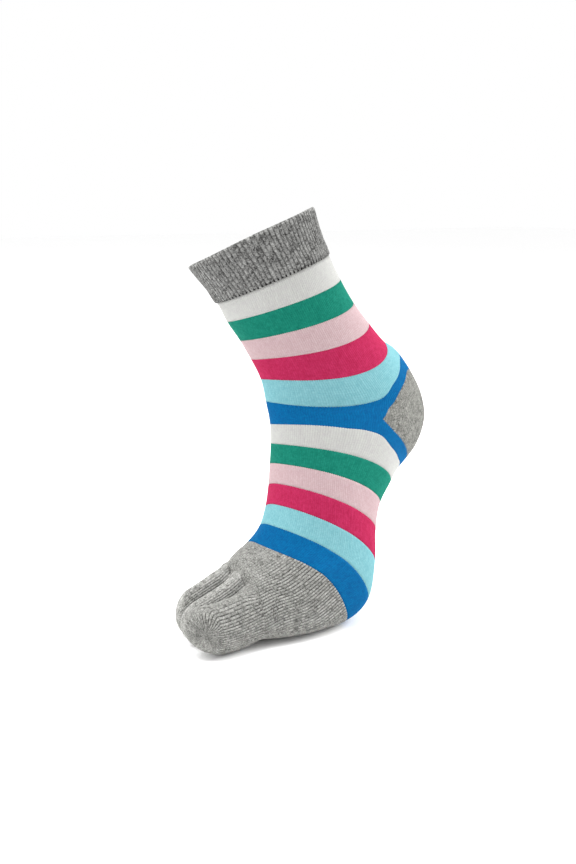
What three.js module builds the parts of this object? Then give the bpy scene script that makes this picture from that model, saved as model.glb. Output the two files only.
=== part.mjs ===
// A striped knitted toe sock for the right foot, in the form it has when worn on tiptoe.
// Millimetres, +Z up. The toes point towards -X and the inner side of the foot towards -Y.
import * as THREE from "three";

// Driving sizes
const SOCK_HEIGHT = 250; // ground under the toes to about the back of the cuff's rim
const SOCK_LENGTH = 200; // big toe to the back of the heel
const SOCK_WIDTH = 90; // across the ball of the foot
const KNIT_WALL = 1.4; // plain knit of the stripes, heel and toes
const CUFF_PROUD = 1.1; // how far the double cuff stands out from the leg
const CUFF_ROLL = 3; // height of the rounded edges of the cuff
const PIECE_GAP = 0.3; // clearance between neighbouring pieces
const LEAN_DEGREES = 13; // how far the top of the leg leans outwards
const LEAN_POWER = 1.7; // the lean grows towards the top
const WEB_SLANT = 0.34; // the webs of the small toes lie further back
const WEB_CREASE_DEPTH = 5; // furrow over and under each web
const WEB_CREASE_WIDTH = 3;

// Knitted rings from the cuff's rim to the ball of the foot. Each ring starts at the front of the
// leg or top of the foot and passes the back of the leg, heel or sole.
// frontX and backX are shares of SOCK_LENGTH; frontZ, backZ and drop of SOCK_HEIGHT;
// inner and outer half widths of SOCK_WIDTH; sag of SOCK_LENGTH. sagAt is where the sag is
// deepest, as a share of the way from front to back. roll is in degrees, square is the exponent
// of the back half (2 is an ellipse), drop lowers the outer side of the instep and slant carries
// that side back, in millimetres for each millimetre sideways.
const RING_COLUMNS = [
  "frontX", "frontZ", "backX", "backZ", "inner", "outer", "sag", "sagAt", "roll", "square", "drop", "slant",
];
const RING_ROWS = {
  cuff_rim: [-0.228, 0.892, 0.134, 1.014, 0.456, 0.456, 0, 0.65, 16, 2, 0, 0],
  cuff_end: [-0.148, 0.805, 0.178, 0.902, 0.439, 0.439, 0, 0.65, 12.5, 2, 0, 0],
  leg_green: [-0.122, 0.757, 0.215, 0.848, 0.428, 0.428, 0.02, 0.65, 11, 2, 0, 0],
  leg_pink: [-0.085, 0.708, 0.26, 0.794, 0.417, 0.417, 0.035, 0.65, 9.5, 2, 0, 0],
  leg_magenta: [-0.054, 0.66, 0.317, 0.744, 0.406, 0.406, 0.06, 0.65, 8, 2, 0, 0],
  leg_aqua: [-0.03, 0.609, 0.38, 0.694, 0.394, 0.394, 0.115, 0.72, 6, 2, 0, 0],
  ankle_top: [-0.022, 0.552, 0.44, 0.668, 0.383, 0.383, 0.19, 0.77, 3, 1.8, 0, 0],
  heel_high: [-0.022, 0.54, 0.491, 0.604, 0.383, 0.383, 0.08, 0.65, 3.5, 2.1, 0, 0],
  heel_back: [-0.022, 0.529, 0.527, 0.54, 0.383, 0.383, 0.03, 0.65, 4, 2.2, 0, 0],
  heel_round: [-0.023, 0.52, 0.534, 0.472, 0.383, 0.383, -0.02, 0.65, 5, 2.2, 0, 0],
  heel_low: [-0.025, 0.511, 0.493, 0.392, 0.383, 0.383, -0.07, 0.65, 6, 2.1, 0, 0],
  ankle_end: [-0.027, 0.501, 0.418, 0.322, 0.383, 0.383, -0.13, 0.7, 9, 1.7, 0, 0],
  foot_green: [-0.026, 0.452, 0.367, 0.294, 0.383, 0.383, -0.08, 0.7, 8, 2, 0, 0],
  foot_pink: [-0.029, 0.403, 0.315, 0.243, 0.394, 0.394, -0.055, 0.65, 9, 2.1, 0, 0],
  foot_magenta: [-0.034, 0.353, 0.282, 0.178, 0.417, 0.417, -0.045, 0.65, 9, 2.2, 0.008, 0],
  foot_aqua: [-0.046, 0.302, 0.26, 0.09, 0.444, 0.45, -0.058, 0.65, 8, 2.3, 0.016, 0],
  foot_blue: [-0.074, 0.255, 0.198, 0.01, 0.467, 0.467, -0.092, 0.62, 5, 3.2, 0.032, 0.04],
  forefoot: [-0.12, 0.214, 0.105, 0, 0.483, 0.456, -0.09, 0.42, 0, 4.8, 0.052, 0.1],
  ball: [-0.165, 0.2, 0, 0, 0.489, 0.478, -0.01, 0.65, 0, 4, 0.06, 0.2],
  toe_roots: [-0.188, 0.185, -0.13, 0, 0.467, 0.489, 0, 0.65, 0, 3.4, 0.056, 0.3],
};
const RINGS = Object.values(RING_ROWS).map((row) => named(RING_COLUMNS, row));
const SQUARE_FROM = 0.3; // share of the way to the back where a ring starts to square off
const SQUARE_OVER = 0.4; // and the share over which it does so
const DROP_SIDE_POWER = 1.3; // how the instep's drop grows sideways
const DROP_TOP_POWER = 0.7; // and how it fades towards the sole

// The last ring, where the foot divides into the toes. frontX is a share of SOCK_LENGTH, the
// widths and webs of SOCK_WIDTH and the heights of SOCK_HEIGHT.
const WEB_RING = {
  frontX: -0.208,
  slantFrom: 0.045,
  inner: 0.428,
  outer: 0.494,
  square: 3,
  peakY: 0.05,
  peakHeight: 0.163,
  innerDrop: 0.028,
  outerDrop: 0.1,
  middle: 0.48, // height of the widest line, as a share of the ring's own height
};
const WEB_PLACES = [-0.19, -0.005, 0.172, 0.339];

// Toe pockets from the big toe outwards. tipX is a share of SOCK_LENGTH, tipY and bulge of
// SOCK_WIDTH, the heights of SOCK_HEIGHT. cap is where the round end starts, as a share of the
// toe's length, and bulge widens the free side of the first toe.
const TOE_COLUMNS = ["tipX", "tipY", "tipZ", "midTop", "midBottom", "padTop", "padBottom", "cap", "bulge"];
const TOE_ROWS = [
  [-0.443, -0.3, 0.08, 0.131, 0.001, 0.124, 0.008, 0.64, 0.036],
  [-0.406, -0.096, 0.056, 0.131, 0.01, 0.111, 0.002, 0.66, 0],
  [-0.38, 0.083, 0.052, 0.14, 0.014, 0.119, 0.002, 0.76, 0],
  [-0.33, 0.256, 0.046, 0.1, 0.012, 0.082, 0.002, 0.76, 0],
  [-0.27, 0.415, 0.042, 0.085, 0.008, 0.068, 0.002, 0.72, 0],
];
const TOES = TOE_ROWS.map((row) => named(TOE_COLUMNS, row));
const TOE_MIDDLE = 0.35; // places of a toe's middle and pad along its length
const TOE_PAD = 0.7;
const TOE_ROUND_FROM = 0.24; // the squared root has turned into an oval here

// The heel pocket is a lens on the ankle rings: it starts at a point on each side of the ankle.
const HEEL_APEX_DEGREES = 86;
const HEEL_APEX_RING = 9.2; // place between the rings, counted from the cuff's rim
const HEEL_TOP_RING = 6.58;
const HEEL_END_RING = 10.55;
const HEEL_OPENING_POWER = 7;
const HEEL_TIP_DEGREES = 3;

// The ankle's centre, inside the sock, is the origin
const ANKLE_X = 0.24; // share of SOCK_LENGTH
const ANKLE_Z = 0.5; // share of SOCK_HEIGHT

// Mesh fineness
const RING_STEPS = 36;
const TOP_STEPS = 4; // over and under each toe
const END_STEPS = 6; // round the sides of the first and last toe
const SIDE_STEPS = 4; // down each web
const TOE_SECTIONS = [0, 0.12, 0.3, 0.52, 0.7, 0.86, 0.95]; // shares of a toe's length
const SLOPE_STEP = 0.01; // for the surface's directions

// Yarn colours
const YARN = {
  grey: 0x8f8f8c,
  white: 0xdedddc,
  green: 0x2f9a82,
  pink: 0xe3c3c7,
  magenta: 0xc93a6c,
  aqua: 0x93cfd6,
  blue: 0x1570b0,
};
const YARN_ROUGHNESS = 0.92;

const LAST_RING = RINGS.length;
const ringPlace = Object.fromEntries(Object.keys(RING_ROWS).map((name, index) => [name, index]));
const halfGap = PIECE_GAP / 2;
const TOEWARD = new THREE.Vector3(-1, 0, 0);

// A row of a table as an object with the columns' names
function named(columns, row) {
  return Object.fromEntries(columns.map((column, index) => [column, row[index]]));
}

function signedPower(value, power) {
  return Math.sign(value) * Math.abs(value) ** power;
}

function smoothStep(value) {
  const share = Math.min(Math.max(value, 0), 1);
  return share * share * (3 - 2 * share);
}

// Sideways place of the leg's centre at a height: it leans outwards towards the cuff
function leanAt(height) {
  const slope = THREE.MathUtils.degToRad(LEAN_DEGREES);
  const share = Math.max(height, 0) / SOCK_HEIGHT;
  return (slope * SOCK_HEIGHT * share ** LEAN_POWER) / LEAN_POWER;
}

// One point of a ring. The angle is 0 at the front, 90 degrees on the inner side, 180 at the back.
function ringPoint(ring, angle) {
  const plainShare = (1 - Math.cos(angle)) / 2;
  const backness = Math.min(Math.max((plainShare - SQUARE_FROM) / SQUARE_OVER, 0), 1);
  const power = 2 / (2 + (ring.square - 2) * backness);
  const across = signedPower(Math.sin(angle), power);
  const share = (1 - signedPower(Math.cos(angle), power)) / 2;
  const halfWidth = SOCK_WIDTH * (across > 0 ? ring.inner : ring.outer);

  const front = new THREE.Vector2(ring.frontX * SOCK_LENGTH, ring.frontZ * SOCK_HEIGHT);
  const back = new THREE.Vector2(ring.backX * SOCK_LENGTH, ring.backZ * SOCK_HEIGHT);
  const chord = back.clone().sub(front);
  const down = new THREE.Vector2(chord.y, -chord.x).normalize();
  const handle = front.clone().addScaledVector(chord, ring.sagAt);
  handle.addScaledVector(down, ring.sag * SOCK_LENGTH);
  const middle = new THREE.QuadraticBezierCurve(front, handle, back).getPoint(share);

  const sideways = -halfWidth * across;
  const outerShare = Math.max(sideways / halfWidth, 0);
  const drop = ring.drop * SOCK_HEIGHT * outerShare ** DROP_SIDE_POWER * (1 - share) ** DROP_TOP_POWER;
  const roll = THREE.MathUtils.degToRad(ring.roll);
  const centre = leanAt((front.y + back.y) / 2);
  return new THREE.Vector3(
    middle.x + ring.slant * Math.max(sideways, 0),
    centre + sideways * Math.cos(roll),
    middle.y - drop - sideways * Math.sin(roll)
  );
}

function webX(y) {
  return WEB_RING.frontX * SOCK_LENGTH + WEB_SLANT * Math.max(y - WEB_RING.slantFrom * SOCK_WIDTH, 0);
}

// Height of the top of the foot where the toes start
function webTop(y) {
  const place = y / SOCK_WIDTH - WEB_RING.peakY;
  const reach = place > 0 ? WEB_RING.outer - WEB_RING.peakY : WEB_RING.inner + WEB_RING.peakY;
  const drop = place > 0 ? WEB_RING.outerDrop : WEB_RING.innerDrop;
  return SOCK_HEIGHT * (WEB_RING.peakHeight - drop * (place / reach) ** 2);
}

// Furrows over the webs, 0 to 1
function webFurrow(y) {
  const furrows = WEB_PLACES.map((web) => Math.exp(-(((y - web * SOCK_WIDTH) / WEB_CREASE_WIDTH) ** 2)));
  return furrows.reduce((sum, furrow) => sum + furrow, 0);
}

function webRingPoint(angle) {
  const power = 2 / WEB_RING.square;
  const across = signedPower(Math.sin(angle), power);
  const upward = signedPower(Math.cos(angle), power);
  const y = -across * SOCK_WIDTH * (across > 0 ? WEB_RING.inner : WEB_RING.outer);
  const top = webTop(y);
  const middle = top * WEB_RING.middle;
  const reach = (upward > 0 ? top - middle : middle) - WEB_CREASE_DEPTH * webFurrow(y);
  return new THREE.Vector3(webX(y), y, middle + reach * upward);
}

// Angle of the web ring's upper point at a sideways place
function webAngle(y) {
  const halfWidth = SOCK_WIDTH * (y < 0 ? WEB_RING.inner : WEB_RING.outer);
  return Math.asin(-signedPower(Math.min(Math.max(y / halfWidth, -1), 1), WEB_RING.square / 2));
}

function stationPoint(index, angle) {
  return index === LAST_RING ? webRingPoint(angle) : ringPoint(RINGS[index], angle);
}

// The sock's outer surface: place counts the rings from the cuff's rim, angle goes round.
// The curve through the rings is a centripetal Catmull-Rom spline.
function surfacePoint(place, angle) {
  const index = Math.min(Math.max(Math.floor(place), 0), LAST_RING - 1);
  const share = place - index;
  const start = stationPoint(index, angle);
  const end = stationPoint(index + 1, angle);
  const before = index > 0 ? stationPoint(index - 1, angle) : start.clone().multiplyScalar(2).sub(end);
  const after =
    index + 2 <= LAST_RING ? stationPoint(index + 2, angle) : end.clone().multiplyScalar(2).sub(start);
  const stepIn = Math.sqrt(start.distanceTo(before)) + 1e-6;
  const step = Math.sqrt(end.distanceTo(start)) + 1e-6;
  const stepOut = Math.sqrt(after.distanceTo(end)) + 1e-6;
  const slope = (near, here, far, first, second) =>
    here.clone().sub(near).divideScalar(first)
      .sub(far.clone().sub(near).divideScalar(first + second))
      .add(far.clone().sub(here).divideScalar(second))
      .multiplyScalar(step);
  const startSlope = slope(before, start, end, stepIn, step);
  const endSlope = slope(start, end, after, step, stepOut);
  const squared = share * share;
  const cubed = squared * share;
  return start.clone().multiplyScalar(2 * cubed - 3 * squared + 1)
    .addScaledVector(startSlope, cubed - 2 * squared + share)
    .addScaledVector(end, 3 * squared - 2 * cubed)
    .addScaledVector(endSlope, cubed - squared);
}

function alongStep(place, angle) {
  const low = Math.max(place - SLOPE_STEP, 0);
  const high = Math.min(place + SLOPE_STEP, LAST_RING);
  return surfacePoint(high, angle).sub(surfacePoint(low, angle)).divideScalar(high - low);
}

// A point at a depth under the surface. At the webs the wall ends square to the toes.
function pointUnder(place, angle, depth) {
  const round = surfacePoint(place, angle + SLOPE_STEP).sub(surfacePoint(place, angle - SLOPE_STEP));
  const along = alongStep(place, angle).normalize();
  along.lerp(TOEWARD, smoothStep(place + 1 - LAST_RING));
  const outward = along.cross(round).normalize();
  return surfacePoint(place, angle).addScaledVector(outward, -depth);
}

// Ring place that lies a distance in millimetres from a given one
function movedPlace(place, angle, distance) {
  return place + distance / Math.max(alongStep(place, angle).length(), 1);
}

function ringAngles(steps) {
  return Array.from({ length: steps }, (unused, index) => (2 * Math.PI * index) / steps);
}

// Joins rows of points into a closed body: an outer skin, an inner skin and the rims between
// them. The rows close on themselves. With a tip the far end is closed by one point on each skin.
function shellGeometry(outerRows, innerRows, outerTip = null, innerTip = null) {
  const columns = outerRows[0].length;
  const rows = outerRows.length;
  const points = [...outerRows.flat(), ...innerRows.flat()];
  const faces = [];
  const outer = (row, column) => row * columns + (column % columns);
  const inner = (row, column) => rows * columns + outer(row, column);
  for (let column = 0; column < columns; column += 1) {
    const next = column + 1;
    for (let row = 0; row + 1 < rows; row += 1) {
      faces.push(...quad(outer(row, column), outer(row + 1, column), outer(row + 1, next), outer(row, next)));
      faces.push(...quad(inner(row, column), inner(row, next), inner(row + 1, next), inner(row + 1, column)));
    }
    faces.push(...quad(inner(0, column), outer(0, column), outer(0, next), inner(0, next)));
    const last = rows - 1;
    if (outerTip) {
      const tip = points.length;
      faces.push([outer(last, column), tip, outer(last, next)]);
      faces.push([inner(last, column), inner(last, next), tip + 1]);
    } else {
      faces.push(...quad(outer(last, column), inner(last, column), inner(last, next), outer(last, next)));
    }
  }
  if (outerTip) points.push(outerTip, innerTip);
  return bodyGeometry(points, faces);
}

function quad(a, b, c, d) {
  return [[a, b, c], [a, c, d]];
}

function bodyGeometry(points, faces) {
  const geometry = new THREE.BufferGeometry().setFromPoints(points);
  geometry.setIndex(faces.flat());
  geometry.computeVertexNormals();
  return geometry;
}

// A knitted band between two ring places
function bandGeometry(startPlace, endPlace, angles, steps) {
  const rowsAt = (depth) =>
    Array.from({ length: steps + 1 }, (unused, row) =>
      angles.map((angle) => {
        const start = movedPlace(startPlace, angle, halfGap);
        const end = movedPlace(endPlace, angle, -halfGap);
        return pointUnder(start + ((end - start) * row) / steps, angle, depth);
      })
    );
  return shellGeometry(rowsAt(0), rowsAt(KNIT_WALL));
}

// The double cuff stands proud of the leg and has rounded edges
function cuffGeometry(angles) {
  const height = alongStep(0.5, 0).length();
  const roll = CUFF_ROLL / height;
  const end = (angle) => movedPlace(1, angle, -halfGap);
  const rows = [
    { share: 0, proud: 0 },
    { share: roll / 2, proud: 0.8 },
    { share: roll, proud: 1 },
    { share: 0.5, proud: 1 },
    { share: 1 - roll, proud: 1 },
    { share: 1 - roll / 2, proud: 0.8 },
    { share: 1, proud: 0 },
  ];
  const rowAt = (share, depth) => angles.map((angle) => pointUnder(share * end(angle), angle, depth));
  const outer = rows.map((row) => rowAt(row.share, -CUFF_PROUD * row.proud));
  const inner = rows.map((row) => rowAt(row.share, KNIT_WALL));
  return shellGeometry(outer, inner);
}

// Edges of the heel pocket at an angle, as ring places
function heelEdges(angle) {
  const apex = THREE.MathUtils.degToRad(HEEL_APEX_DEGREES);
  const fromFront = Math.min(angle, 2 * Math.PI - angle);
  const share = Math.max((fromFront - apex) / (Math.PI - apex), 0);
  const opening = 1 - (1 - share) ** HEEL_OPENING_POWER;
  return {
    top: HEEL_APEX_RING + (HEEL_TOP_RING - HEEL_APEX_RING) * opening,
    end: HEEL_APEX_RING + (HEEL_END_RING - HEEL_APEX_RING) * opening,
    open: share > 1e-6,
  };
}

// The ankle band is one piece in front and forks round the heel pocket
function ankleBandGeometry(angles) {
  const steps = 2;
  const points = [];
  const faces = [];
  const skins = [0, KNIT_WALL].map((depth) => {
    const addPoint = (place, angle) => points.push(pointUnder(place, angle, depth)) - 1;
    return angles.map((angle) => {
      const edges = heelEdges(angle);
      const start = movedPlace(ringPlace.ankle_top, angle, halfGap);
      const end = movedPlace(ringPlace.ankle_end, angle, -halfGap);
      const upper = [];
      const lower = [];
      for (let row = 0; row <= steps; row += 1) {
        upper.push(addPoint(start + ((edges.top - start) * row) / steps, angle));
      }
      for (let row = 0; row <= steps; row += 1) {
        const shared = row === 0 && !edges.open;
        const place = edges.end + ((end - edges.end) * row) / steps;
        lower.push(shared ? upper[steps] : addPoint(place, angle));
      }
      return { upper, lower };
    });
  });
  const [outer, inner] = skins;
  angles.forEach((unused, column) => {
    const next = (column + 1) % angles.length;
    for (const branch of ["upper", "lower"]) {
      const [a, b] = [outer[column][branch], outer[next][branch]];
      const [c, d] = [inner[column][branch], inner[next][branch]];
      for (let row = 0; row < steps; row += 1) {
        faces.push(...quad(a[row], a[row + 1], b[row + 1], b[row]));
        faces.push(...quad(c[row], d[row], d[row + 1], c[row + 1]));
      }
    }
    const [a, b, c, d] = [outer[column], outer[next], inner[column], inner[next]];
    faces.push(...quad(c.upper[0], a.upper[0], b.upper[0], d.upper[0]));
    faces.push(...quad(a.lower[steps], c.lower[steps], d.lower[steps], b.lower[steps]));
    const forks = a.upper[steps] !== a.lower[0] || b.upper[steps] !== b.lower[0];
    if (forks) {
      faces.push(...quad(a.upper[steps], c.upper[steps], d.upper[steps], b.upper[steps]));
      faces.push(...quad(c.lower[0], a.lower[0], b.lower[0], d.lower[0]));
    }
  });
  return bodyGeometry(points, faces);
}

// The heel pocket: a lens that ends in a point on each side of the ankle
function heelGeometry(angles) {
  const steps = 5;
  const openAngles = angles.filter((angle) => heelEdges(angle).open);
  const tipAngle = THREE.MathUtils.degToRad(HEEL_APEX_DEGREES + HEEL_TIP_DEGREES);
  const points = [];
  const faces = [];
  const skins = [0, KNIT_WALL].map((depth) => {
    const addPoint = (place, angle) => points.push(pointUnder(place, angle, depth)) - 1;
    const columns = openAngles.map((angle) => {
      const edges = heelEdges(angle);
      const top = movedPlace(edges.top, angle, PIECE_GAP);
      const end = movedPlace(edges.end, angle, -PIECE_GAP);
      return spread(top, end, steps).map((place) => addPoint(place, angle));
    });
    const firstTip = addPoint(HEEL_APEX_RING, tipAngle);
    const lastTip = addPoint(HEEL_APEX_RING, 2 * Math.PI - tipAngle);
    return { columns, firstTip, lastTip };
  });
  const [outer, inner] = skins;
  const lastColumn = openAngles.length - 1;
  for (let column = 0; column < lastColumn; column += 1) {
    const [a, b] = [outer.columns[column], outer.columns[column + 1]];
    const [c, d] = [inner.columns[column], inner.columns[column + 1]];
    for (let row = 0; row < steps; row += 1) {
      faces.push(...quad(a[row], a[row + 1], b[row + 1], b[row]));
      faces.push(...quad(c[row], d[row], d[row + 1], c[row + 1]));
    }
    faces.push(...quad(c[0], a[0], b[0], d[0]));
    faces.push(...quad(a[steps], c[steps], d[steps], b[steps]));
  }
  for (const [column, outerTip, innerTip, first] of [
    [0, outer.firstTip, inner.firstTip, true],
    [lastColumn, outer.lastTip, inner.lastTip, false],
  ]) {
    const a = outer.columns[column];
    const c = inner.columns[column];
    const add = (list) => faces.push(...list.map((face) => (first ? face : [face[0], face[2], face[1]])));
    for (let row = 0; row < steps; row += 1) {
      add([[outerTip, a[row + 1], a[row]], [innerTip, c[row], c[row + 1]]]);
    }
    add(quad(innerTip, outerTip, a[0], c[0]));
    add(quad(outerTip, innerTip, c[steps], a[steps]));
  }
  return bodyGeometry(points, faces);
}

// Sideways limits of a toe at the web ring
function toeSpan(index) {
  const inner = index === 0 ? -WEB_RING.inner : WEB_PLACES[index - 1];
  const outer = index === TOES.length - 1 ? WEB_RING.outer : WEB_PLACES[index];
  return { inner: inner * SOCK_WIDTH, outer: outer * SOCK_WIDTH };
}

function spread(start, end, steps) {
  return Array.from({ length: steps + 1 }, (unused, index) => start + ((end - start) * index) / steps);
}

// Angles of the web ring that a toe's root follows, over the top and round or under it
function toeArcs(index) {
  const span = toeSpan(index);
  const longArc = 2 * TOP_STEPS + END_STEPS;
  if (index === 0) {
    const web = webAngle(span.outer);
    return [spread(Math.PI - web, web, longArc)];
  }
  if (index === TOES.length - 1) {
    const web = webAngle(span.inner);
    return [spread(web, -Math.PI - web, longArc)];
  }
  const over = spread(webAngle(span.inner), webAngle(span.outer), TOP_STEPS);
  return [over, over.map((angle) => Math.PI - angle).reverse()];
}

// All angles of the web ring in order, with a point at every web
function forefootAngles() {
  const turn = 2 * Math.PI;
  const all = TOES.flatMap((unused, index) => toeArcs(index).flat());
  const wrapped = all.map((angle) => ((angle % turn) + turn) % turn).sort((a, b) => a - b);
  return wrapped.filter((angle, index) => index === 0 || angle - wrapped[index - 1] > 1e-6);
}

// Closed root outline of a toe: arcs of the web ring joined by straight web walls
function toeRoot(index) {
  const span = toeSpan(index);
  const arcs = toeArcs(index).map((arc) => arc.map(webRingPoint));
  const outline = [];
  arcs.forEach((arc, arcIndex) => {
    const nextArc = arcs[(arcIndex + 1) % arcs.length];
    const end = arc[arc.length - 1];
    outline.push(...arc);
    for (let step = 1; step < SIDE_STEPS; step += 1) {
      outline.push(end.clone().lerp(nextArc[0], step / SIDE_STEPS));
    }
  });
  const innerLimit = index === 0 ? -Infinity : span.inner + halfGap;
  const outerLimit = index === TOES.length - 1 ? Infinity : span.outer - halfGap;
  for (const point of outline) {
    point.y = Math.min(Math.max(point.y, innerLimit), outerLimit);
    point.x -= PIECE_GAP;
  }
  return outline.reverse();
}

// Value along a toe from its root, middle and pad
function alongToe(share, root, middle, pad) {
  if (share <= TOE_MIDDLE) return root + ((middle - root) * share) / TOE_MIDDLE;
  const towardsPad = Math.min((share - TOE_MIDDLE) / (TOE_PAD - TOE_MIDDLE), 1);
  return middle + (pad - middle) * towardsPad;
}

function toeGeometry(index) {
  const toe = TOES[index];
  const root = toeRoot(index);
  const heights = root.map((point) => point.z);
  const rootTop = Math.max(...heights);
  const rootBottom = Math.min(...heights);
  const sides = root.map((point) => point.y);
  const rootInner = Math.min(...sides);
  const rootOuter = Math.max(...sides);
  const rootHalfHeight = (rootTop - rootBottom) / 2;
  const rootHalfWidth = (rootOuter - rootInner) / 2;
  const rootCentre = new THREE.Vector3(
    webX((rootInner + rootOuter) / 2) - PIECE_GAP,
    (rootInner + rootOuter) / 2,
    (rootTop + rootBottom) / 2
  );
  const tip = new THREE.Vector3(toe.tipX * SOCK_LENGTH, toe.tipY * SOCK_WIDTH, toe.tipZ * SOCK_HEIGHT);
  const rows = TOE_SECTIONS.map((share) => {
    const top = alongToe(share, rootTop, toe.midTop * SOCK_HEIGHT, toe.padTop * SOCK_HEIGHT);
    const bottom = alongToe(share, rootBottom, toe.midBottom * SOCK_HEIGHT, toe.padBottom * SOCK_HEIGHT);
    const inner = rootInner - toe.bulge * SOCK_WIDTH * smoothStep(share / TOE_PAD);
    const intoCap = Math.max((share - toe.cap) / (1 - toe.cap), 0);
    const closing = Math.sqrt(1 - intoCap * intoCap);
    const halfHeight = (top - bottom) / 2;
    const halfWidth = (rootOuter - inner) / 2;
    const centre = new THREE.Vector3(
      THREE.MathUtils.lerp(rootCentre.x, tip.x, share),
      THREE.MathUtils.lerp((inner + rootOuter) / 2, tip.y, intoCap),
      THREE.MathUtils.lerp((top + bottom) / 2, tip.z, intoCap)
    );
    const roundness = smoothStep(share / TOE_ROUND_FROM);
    return root.map((point) => {
      const offset = point.clone().sub(rootCentre);
      const angle = Math.atan2(offset.z / rootHalfHeight, offset.y / rootHalfWidth);
      const oval = new THREE.Vector3(0, halfWidth * Math.cos(angle), halfHeight * Math.sin(angle));
      oval.multiplyScalar(closing);
      offset.y *= halfWidth / rootHalfWidth;
      offset.z *= halfHeight / rootHalfHeight;
      return offset.lerp(oval, roundness).add(centre);
    });
  });
  const innerTip = tip.clone();
  innerTip.x += KNIT_WALL;
  return shellGeometry(rows, insetRows(rows, tip), tip, innerTip);
}

// The toe's inner skin: each point moved in along the direction in which its neighbours face
function insetRows(rows, tip) {
  const columns = rows[0].length;
  return rows.map((row, rowIndex) =>
    row.map((point, column) => {
      const after = rowIndex + 1 < rows.length ? rows[rowIndex + 1][column] : tip;
      const along = rowIndex > 0 ? after.clone().sub(rows[rowIndex - 1][column]) : TOEWARD.clone();
      const round = row[(column + 1) % columns].clone().sub(row[(column + columns - 1) % columns]);
      const inward = round.cross(along).normalize();
      return point.clone().addScaledVector(inward, KNIT_WALL);
    })
  );
}

const sock = new THREE.Group();

function addPiece(name, geometry, colour) {
  const material = new THREE.MeshStandardMaterial({ color: colour, roughness: YARN_ROUGHNESS, metalness: 0 });
  const piece = new THREE.Mesh(geometry, material);
  piece.name = name;
  sock.add(piece);
}

// Stripes in knitting order, each from its own ring to the next one
const STRIPES = [
  { name: "leg_white", from: "cuff_end", to: "leg_green", yarn: "white" },
  { name: "leg_green", from: "leg_green", to: "leg_pink", yarn: "green" },
  { name: "leg_pink", from: "leg_pink", to: "leg_magenta", yarn: "pink" },
  { name: "leg_magenta", from: "leg_magenta", to: "leg_aqua", yarn: "magenta" },
  { name: "leg_aqua", from: "leg_aqua", to: "ankle_top", yarn: "aqua" },
  { name: "foot_white", from: "ankle_end", to: "foot_green", yarn: "white" },
  { name: "foot_green", from: "foot_green", to: "foot_pink", yarn: "green" },
  { name: "foot_pink", from: "foot_pink", to: "foot_magenta", yarn: "pink" },
  { name: "foot_magenta", from: "foot_magenta", to: "foot_aqua", yarn: "magenta" },
  { name: "foot_aqua", from: "foot_aqua", to: "foot_blue", yarn: "aqua" },
  { name: "foot_blue", from: "foot_blue", to: "forefoot", yarn: "blue" },
];
const STRIPE_STEPS = 2;
const FOREFOOT_STEPS = 6;

const roundAngles = ringAngles(RING_STEPS);
addPiece("cuff", cuffGeometry(roundAngles), YARN.grey);
for (const stripe of STRIPES) {
  const geometry = bandGeometry(ringPlace[stripe.from], ringPlace[stripe.to], roundAngles, STRIPE_STEPS);
  addPiece(stripe.name, geometry, YARN[stripe.yarn]);
}
addPiece("ankle_band", ankleBandGeometry(roundAngles), YARN.blue);
addPiece("heel", heelGeometry(roundAngles), YARN.grey);
const forefoot = bandGeometry(ringPlace.forefoot, LAST_RING, forefootAngles(), FOREFOOT_STEPS);
addPiece("forefoot", forefoot, YARN.grey);
TOES.forEach((unused, index) => addPiece(`toe_pocket_${index + 1}`, toeGeometry(index), YARN.grey));

const ankleHeight = ANKLE_Z * SOCK_HEIGHT;
sock.position.set(-ANKLE_X * SOCK_LENGTH, -leanAt(ankleHeight), -ankleHeight);

export default sock;
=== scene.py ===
import math
import bpy
import numpy as np
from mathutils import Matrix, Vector


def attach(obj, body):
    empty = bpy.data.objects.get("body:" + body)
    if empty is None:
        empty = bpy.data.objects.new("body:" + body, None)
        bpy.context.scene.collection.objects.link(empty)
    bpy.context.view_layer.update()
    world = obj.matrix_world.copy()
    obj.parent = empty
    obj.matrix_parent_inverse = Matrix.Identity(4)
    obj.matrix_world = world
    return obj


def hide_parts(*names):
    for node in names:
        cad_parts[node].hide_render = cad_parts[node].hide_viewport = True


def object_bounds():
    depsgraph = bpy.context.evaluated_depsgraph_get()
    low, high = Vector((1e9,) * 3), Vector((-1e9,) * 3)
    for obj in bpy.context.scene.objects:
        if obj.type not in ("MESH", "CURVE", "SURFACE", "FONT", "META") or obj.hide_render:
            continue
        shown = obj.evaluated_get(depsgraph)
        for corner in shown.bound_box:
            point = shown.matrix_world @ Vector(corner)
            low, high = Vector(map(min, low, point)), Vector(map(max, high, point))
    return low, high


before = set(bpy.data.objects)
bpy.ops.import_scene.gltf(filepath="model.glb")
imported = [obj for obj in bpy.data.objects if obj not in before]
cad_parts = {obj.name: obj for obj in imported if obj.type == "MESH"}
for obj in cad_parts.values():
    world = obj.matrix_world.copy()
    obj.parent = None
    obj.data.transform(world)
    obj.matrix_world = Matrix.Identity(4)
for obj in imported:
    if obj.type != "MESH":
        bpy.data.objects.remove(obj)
cad_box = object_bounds()

# Sizes of the sock, in millimetres, as in the solids
SOCK_HEIGHT = 250.0
SOCK_LENGTH = 200.0
SOCK_WIDTH = 90.0
KNIT_WALL = 1.4
CUFF_PROUD = 1.1
LEAN_DEGREES = 13.0
LEAN_POWER = 1.7
WEB_SLANT = 0.34
WEB_CREASE_DEPTH = 5.0
WEB_CREASE_WIDTH = 3.0
SQUARE_FROM = 0.3
SQUARE_OVER = 0.4
DROP_SIDE_POWER = 1.3
DROP_TOP_POWER = 0.7
ANKLE_X = 0.24
ANKLE_Z = 0.5
METRE = 0.001

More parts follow.
